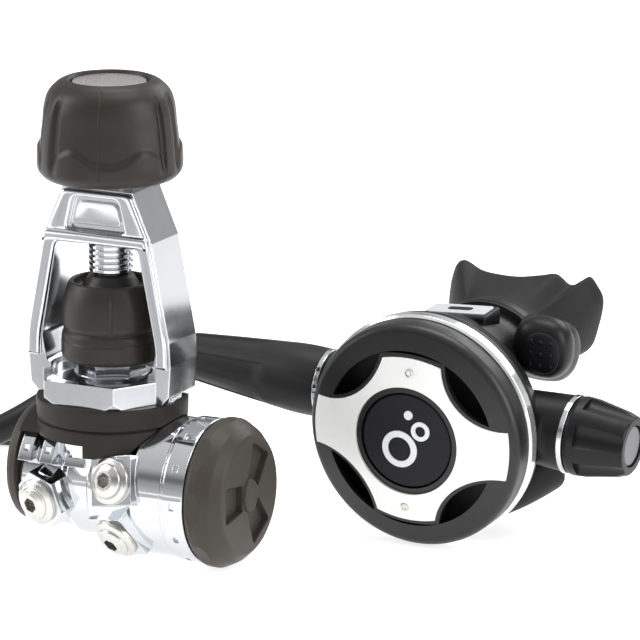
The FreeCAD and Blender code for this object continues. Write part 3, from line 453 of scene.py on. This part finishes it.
def make_dust_cap():
    """Cap turned from (radius, height) points, from the screw's neck down over its two lips and inside."""
    profile = rounded([
        (5.85, 62.0), (5.85, 72.2), (7.4, 72.0, 0.6), (10.4, 67.4, 1.2), (11.6, 66.6, 0.6),
        (12.4, 67.8, 0.8), (13.0, 70.0, 0.7), (14.4, 69.8, 1.0), (16.2, 65.0, 3.0), (17.0, 59.5, 3.0),
        (17.1, 55.0, 1.2), (16.5, 53.8, 0.4), (16.0, 53.2, 0.3), (16.8, 52.4, 0.5), (17.2, 50.4, 0.8),
        (16.9, 50.0, 0.2), (17.3, 49.4, 0.4), (17.3, 44.0, 0.8), (16.6, 42.8, 0.6), (11.9, 42.8, 0.3),
        (11.9, 50.2, 0.3), (6.0, 50.2),
    ], 0.5)
    verts, faces = lathe(refine(profile, 1.2), cap_surface, 360)
    add_piece("cap_body", verts, faces, UPRIGHT, "knob_plastic", "dust_cap", ("dust_cap",), 50.0)


make_yoke_trim()
make_knob()
make_dust_cap()

# ---- mouthpiece and lever -----------------------------------------------------------------------

MOUTH_X = 3.0
MOUTH_Z = 20.4
# wavy edge of the lip flange, as x and z about the demand valve's axes, once round
FLANGE = [
    (33.0, 29.0), (30.2, 34.6), (27.0, 37.4), (23.2, 34.4), (19.4, 33.4), (14.2, 36.4), (8.0, 35.0),
    (0.0, 33.0), (-8.0, 32.2), (-15.4, 32.4), (-22.0, 34.6), (-25.0, 31.0), (-26.0, 22.0), (-24.0, 12.0),
    (-17.0, 6.4), (-8.0, 6.6), (2.0, 9.4), (12.0, 6.6), (21.0, 6.4), (28.6, 10.6), (31.6, 19.0),
]


def flange_points(count):
    """Closed smooth line through the flange's edge points."""
    total = len(FLANGE)
    line = []
    for step in range(count):
        place = total * step / count
        index = int(place)
        share = place - index
        a, b, c, d = (Vector(FLANGE[(index + shift) % total]) for shift in (-1, 0, 1, 2))
        line.append(0.5 * ((2 * b) + (c - a) * share + (2 * a - 5 * b + 4 * c - d) * share ** 2
                           + (3 * b - a - 3 * c + d) * share ** 3))
    return line


def mouth_ring(line, y, half_x, half_z, share, scale=1.0):
    """Ring between an oval and the flange's edge, which curls back at its sides."""
    ring = []
    for spot in line:
        off = spot - Vector((MOUTH_X, MOUTH_Z))
        angle = math.atan2(off.y, off.x)
        far = 1 / math.sqrt((math.cos(angle) / half_x) ** 2 + (math.sin(angle) / half_z) ** 2)
        x = 2.0 + share * (MOUTH_X - 2.0) + math.cos(angle) * far * (1 - share) + off.x * share * scale
        z = 18.0 + share * (MOUTH_Z - 18.0) + math.sin(angle) * far * (1 - share) + off.y * share * scale
        curl = 4.6 * share * ((x - MOUTH_X) / 29.0) ** 2
        fold = 0.5 * share * (1 - share) * 4 * math.sin(5 * angle + 0.6)
        ring.append((x - 0.5 * curl, y + curl + fold, z - 0.2 * curl + fold))
    return ring


def make_mouthpiece():
    """Rings of (y, half width, half height, share of the flange's shape), out over the lips and back."""
    line = flange_points(336)
    outside = [
        (45.5, 19.2, 14.6, 0.0), (47.3, 19.2, 14.6, 0.0), (47.4, 18.2, 13.6, 0.0),
        (51.0, 18.2, 13.6, 0.0), (51.1, 19.1, 14.5, 0.0), (52.6, 19.0, 14.4, 0.0),
        (54.4, 18.2, 13.6, 0.0), (57.0, 18.6, 13.2, 0.04), (60.0, 19.6, 13.2, 0.16),
        (63.0, 20.6, 13.2, 0.34), (66.0, 21.4, 13.2, 0.55), (69.0, 22.0, 13.2, 0.76),
        (71.6, 22.0, 13.2, 0.92), (73.4, 22.0, 13.2, 0.985),
    ]
    rings = [mouth_ring(line, *numbers) for numbers in outside]
    for y, scale in ((74.4, 1.0), (75.4, 0.995), (75.8, 0.97), (75.6, 0.93), (74.6, 0.86), (73.4, 0.78)):
        rings.append(mouth_ring(line, y, 22.0, 13.2, 1.0, scale))
    inside = [
        (73.2, 17.2, 9.6, 0.22), (76.6, 17.0, 9.4, 0.06), (77.4, 16.2, 8.8, 0.03), (76.8, 15.4, 8.2, 0.0),
        (64.0, 15.0, 8.4, 0.0), (53.0, 14.0, 9.4, 0.0), (53.0, 17.1, 12.6, 0.0), (45.5, 17.1, 12.6, 0.0),
    ]
    rings += [mouth_ring(line, *numbers) for numbers in inside]
    verts, faces = rings_to_mesh(rings, closed=True)
    add_piece("mouthpiece_body", verts, faces, VALVE, "mouthpiece_silicone", "second_stage",
              ("mouthpiece",), 70.0)


BITE_TAB = [
    (72.0, 3.4, 6.4), (75.0, 3.0, 6.0), (77.0, 1.4, 4.8), (79.0, 1.2, 4.8), (79.6, 1.9, 5.4),
    (80.2, 1.7, 5.0), (80.5, 0.2, 1.0),
]
BITE_SPACING = 20.4


def make_bite_tabs():
    """Two oval tabs behind the lip flange, each a stack of (y, half width, half height) rings."""
    for side, name in ((-1, "bite_tab_left"), (1, "bite_tab_right")):
        tab = []
        for y, half_x, half_z in BITE_TAB:
            ring = []
            for step in range(48):
                angle = math.tau * step / 48
                x = 2.6 + side * BITE_SPACING + half_x * math.cos(angle)
                ring.append((x, y, 20.0 + half_z * math.sin(angle)))
            tab.append(ring)
        verts, faces = rings_to_mesh(tab)
        add_piece(name, verts, faces, VALVE, "mouthpiece_silicone", "second_stage", (), 70.0)


def round_block(centre, half, power, steps=64):
    """Soft-cornered block; a power of 2 is an ellipsoid, and higher powers are squarer."""
    rings = []
    for row in range(steps // 2 + 1):
        tilt = math.pi * (row / (steps // 2) - 0.5)
        ring = []
        for step in range(steps):
            angle = math.tau * step / steps
            parts = (math.cos(tilt) * math.cos(angle), math.cos(tilt) * math.sin(angle), math.sin(tilt))
            size = sum(abs(part) ** power for part in parts) ** (-1 / power)
            ring.append(tuple(c + h * size * part for c, h, part in zip(centre, half, parts)))
        rings.append(ring)
    return rings_to_mesh(rings)


LEVER_Y = 40.0
LEVER_Z = 22.0


def make_lever():
    """Hub on the pivot melted into a thumb pad, with an oval dish of nine dots on its front."""
    hub, hub_faces = lathe(rounded([
        (0.01, 18.2), (11.0, 18.2, 1.0), (11.4, 27.0, 3.0), (10.6, 34.0, 3.0), (7.0, 37.4, 2.5),
        (0.01, 37.8),
    ], 1.0), None, 90)
    hub = [(z, LEVER_Y + y, LEVER_Z - x) for x, y, z in hub]
    pad, pad_faces = round_block((28.6, 34.4, 24.8), (10.6, 7.4, 11.0), 2.5)
    verts = hub + pad
    faces = hub_faces + [tuple(index + len(hub) for index in face) for face in pad_faces]
    lever = add_piece("lever_body", verts, faces, VALVE, "black_plastic", "venturi_lever",
                      ("venturi_lever",))
    melt = lever.modifiers.new("melt", "REMESH")
    melt.mode = "VOXEL"
    melt.voxel_size = 0.00045
    melt.use_smooth_shade = True
    relax = lever.modifiers.new("relax", "SMOOTH")
    relax.factor = 0.6
    relax.iterations = 30
    dish, dish_faces = round_block((30.6, 28.0, 24.8), (6.6, 1.3, 7.4), 2.3)
    add_piece("lever_pad", dish, dish_faces, VALVE, "button_rubber", "venturi_lever", (), 60.0)
    for column in (-1, 0, 1):
        for row in (-1, 0, 1):
            centre = (30.6 + 3.7 * column, 26.85 + 0.25 * abs(column) + 0.2 * abs(row), 24.8 + 4.2 * row)
            dot, dot_faces = round_block(centre, (0.75, 0.6, 0.75), 2.0, 20)
            name = f"lever_dot_{column + 2}{row + 2}"
            add_piece(name, dot, dot_faces, VALVE, "black_plastic", "venturi_lever")


def make_pins():
    """Slotted pin heads in the two upright arms of the bright plate."""
    for side, name in ((-1, "pin_low"), (1, "pin_high")):
        outline = rounded([
            (0.01, 12.4), (1.5, 12.4), (1.5, 13.5, 0.25), (0.9, 13.6, 0.1), (0.8, 13.35, 0.1), (0.01, 13.35),
        ], 0.1)
        verts, faces = lathe(outline, None, 60)
        verts = [(x, y + side * 24.5, z) for x, y, z in verts]
        add_piece(name, verts, faces, FACED, "satin_steel", "second_stage")


def make_label():
    """Raised pad on the crown, leaning a little, with a pale plate and a dark bar let into its top."""
    for name, material, half_x, half_y, low, high, bevel in (
            ("crown_pad", "black_plastic", 12.6, 6.6, 27.0, 34.2, 1.2),
            ("crown_label", "label_grey", 11.0, 4.6, 33.6, 34.7, 0.25),
            ("crown_bar", "black_plastic", 4.6, 1.5, 34.2, 34.9, 0.15)):
        outline = rounded([
            (-half_x, -half_y), (half_x, -half_y), (half_x, half_y), (-half_x, half_y),
        ], 1.6, closed=True)
        verts, faces = plate([outline], low, high, bevel)
        verts = [(x - 1.6, y + 29.6, z + 0.13 * x) for x, y, z in verts]
        hidden = ("label_plate",) if name == "crown_label" else ()
        add_piece(name, verts, faces, VALVE, material, "second_stage", hidden)


def sleeve_surface(degrees, radius, height):
    """Six long shallow flats that run out towards the valve."""
    if radius < 7.4 or height > -50.0:
        return radius
    across = ((degrees - 19.0 + 30.0) % 60.0 - 30.0) / 30.0
    reach = 1 - smooth(-72.0 - 8.0 * across ** 2, -66.0, height)
    return radius - 0.75 * reach * (1 - smooth(0.66, 0.76, abs(across)))


def make_sleeve():
    """Protector turned from (radius, height) points, wide at the valve and slim at the hose."""
    profile = rounded([
        (9.45, -67.0), (9.45, -46.9), (12.3, -46.9, 0.5), (12.5, -56.0, 8.0), (10.4, -80.0, 12.0),
        (8.4, -99.6, 2.0), (7.9, -101.2, 0.6), (5.1, -100.9, 0.4), (5.1, -90.3), (7.15, -90.3),
        (7.15, -67.0), (9.45, -67.0),
    ], 0.3)
    verts, faces = lathe(refine(profile, 0.8), sleeve_surface, 480)
    add_piece("sleeve_body", verts, faces, ALONG_TUBE, "sleeve_rubber", "first_stage",
              ("hose_protector",), 60.0)


make_mouthpiece()
make_bite_tabs()
make_lever()
make_pins()
make_label()
make_sleeve()

# ---- hose --------------------------------------------------------------------------------------

HOSE_DIAMETER = 10.0
HOSE_ROUTE = [
    (14.5, 72.8, 23.8),
    (-22.0, 72.8, 26.4),
    (-52.0, 67.5, 11.0),
    (-80.0, 54.0, -9.0),
    (-114.0, 30.0, -20.9),
    (-154.0, 6.0, -20.9),
    (-200.0, -6.0, -20.9),
    (-240.0, 10.0, -20.9),
    (-262.0, 46.0, -20.9),
    (-256.0, 86.0, -20.9),
    (-226.0, 108.0, -20.9),
    (-192.0, 108.0, -20.9),
    (-160.0, 97.0, -20.9),
    (-131.0, 93.0, -20.9),
    (-105.0, 98.0, -20.9),
    (-80.7, 108.0, -20.9),
    (-56.8, 114.3, -20.9),
    (-32.9, 112.6, -20.4),
    (-12.8, 101.4, -18.0),
    (0.69, 82.65, -14.58),
    (5.3, 59.26, -10.45),
]


def make_hose():
    data = bpy.data.curves.new("hose", "CURVE")
    data.dimensions = "3D"
    data.bevel_depth = HOSE_DIAMETER / 2 * MM
    data.bevel_resolution = 8
    data.resolution_u = 24
    data.use_fill_caps = True
    spline = data.splines.new("NURBS")
    spline.points.add(len(HOSE_ROUTE) - 1)
    for point, place in zip(spline.points, HOSE_ROUTE):
        point.co = first_point(*place).to_4d()
    spline.order_u = 3
    spline.use_endpoint_u = True
    hose = bpy.data.objects.new("hose", data)
    bpy.context.scene.collection.objects.link(hose)
    data.materials.append(MATERIALS["hose_rubber"])
    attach(hose, "first_stage")
    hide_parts("lp_hose")


make_hose()

# ---- floor and light ---------------------------------------------------------------------------

FLOOR_HALF = 12.0
CARD_HEIGHT = 0.0008
CARD_GLOW = 0.8
COOL = 1.01
# tone of the room by height, from straight down at 0 to straight up at 1
SKY = [(0.0, 0.8), (0.47, 0.85), (0.52, 0.70), (0.60, 0.50), (0.68, 0.22), (0.80, 0.70), (1.0, 0.9)]
SKY_STRENGTH = 0.9


def sheet_on_ground(name, low, high, height):
    """Level rectangle between two corners."""
    data = bpy.data.meshes.new(name)
    corners = [(low[0], low[1], height), (high[0], low[1], height), (high[0], high[1], height),
               (low[0], high[1], height)]
    data.from_pydata(corners, [], [(0, 1, 2, 3)])
    sheet = bpy.data.objects.new(name, data)
    bpy.context.scene.collection.objects.link(sheet)
    return sheet


def make_floor():
    floor = sheet_on_ground("floor", (-FLOOR_HALF, -FLOOR_HALF), (FLOOR_HALF, FLOOR_HALF), 0)
    floor.data.materials.append(surface("floor_paper", (0.64, 0.64, 0.64), 0.8, grain=60, bump=0.0,
                                        vary=0.004, specular=0.1, glow=1.2))


def make_world():
    """Soft grey room, brighter overhead, that gives polished metal something to reflect."""
    world = bpy.data.worlds.new("studio")
    world.use_nodes = True
    tree = world.node_tree
    back = tree.nodes["Background"]
    place = tree.nodes.new("ShaderNodeTexCoord")
    split = tree.nodes.new("ShaderNodeSeparateXYZ")
    link(tree, place.outputs["Generated"], split.inputs["Vector"])
    ramp = tree.nodes.new("ShaderNodeValToRGB")
    ramp.color_ramp.interpolation = "EASE"
    low, high = ramp.color_ramp.elements
    low.position, low_tone = SKY[0]
    high.position, high_tone = SKY[-1]
    low.color = (low_tone, low_tone, low_tone, 1)
    high.color = (high_tone, high_tone, high_tone, 1)
    for position, tone in SKY[1:-1]:
        stop = ramp.color_ramp.elements.new(position)
        stop.color = (tone, tone, tone * COOL, 1)
    shift = tree.nodes.new("ShaderNodeMapRange")
    shift.inputs["From Min"].default_value = -1.0
    shift.inputs["From Max"].default_value = 1.0
    link(tree, split.outputs["Z"], shift.inputs["Value"])
    link(tree, shift.outputs["Result"], ramp.inputs["Fac"])
    link(tree, ramp.outputs["Color"], back.inputs["Color"])
    back.inputs["Strength"].default_value = SKY_STRENGTH
    bpy.context.scene.world = world


def make_light(name, place, aim, size, power):
    data = bpy.data.lights.new(name, "AREA")
    data.shape = "RECTANGLE"
    data.size = size[0]
    data.size_y = size[1]
    data.energy = power
    light = bpy.data.objects.new(name, data)
    light.location = place
    light.rotation_mode = "QUATERNION"
    light.rotation_quaternion = (Vector(place) - Vector(aim)).to_track_quat("Z", "Y")
    bpy.context.scene.collection.objects.link(light)


def make_card(name, low, high, tone):
    """Grey card on the floor, seen only in polished metal."""
    card = sheet_on_ground(name, low, high, CARD_HEIGHT)
    card.data.materials.append(surface(name, (tone, tone, tone * COOL), 0.9, grain=9, bump=0.0, vary=0.3,
                                       specular=0.0, glow=CARD_GLOW))
    card.visible_camera = False
    card.visible_diffuse = False
    card.visible_shadow = False


make_floor()
make_card("card_left", (-0.46, -0.66), (-0.13, -0.22), 0.30)
make_card("card_right", (0.14, -0.32), (0.75, 0.05), 0.45)
make_card("card_back", (-0.12, 0.16), (0.55, 0.75), 0.58)
make_world()
make_light("left", (-1.1, -0.5, 0.65), (0, 0, 0.06), (0.6, 0.9), 9)
make_light("right", (1.2, -0.1, 0.55), (0, 0, 0.06), (0.6, 0.9), 9)
make_light("top", (0.0, 0.2, 1.3), (0, 0, 0), (0.9, 0.6), 9)
make_light("rim", (0.3, 1.2, 0.8), (0, 0, 0.05), (0.9, 0.5), 5)
bpy.context.scene.view_settings.view_transform = "Standard"
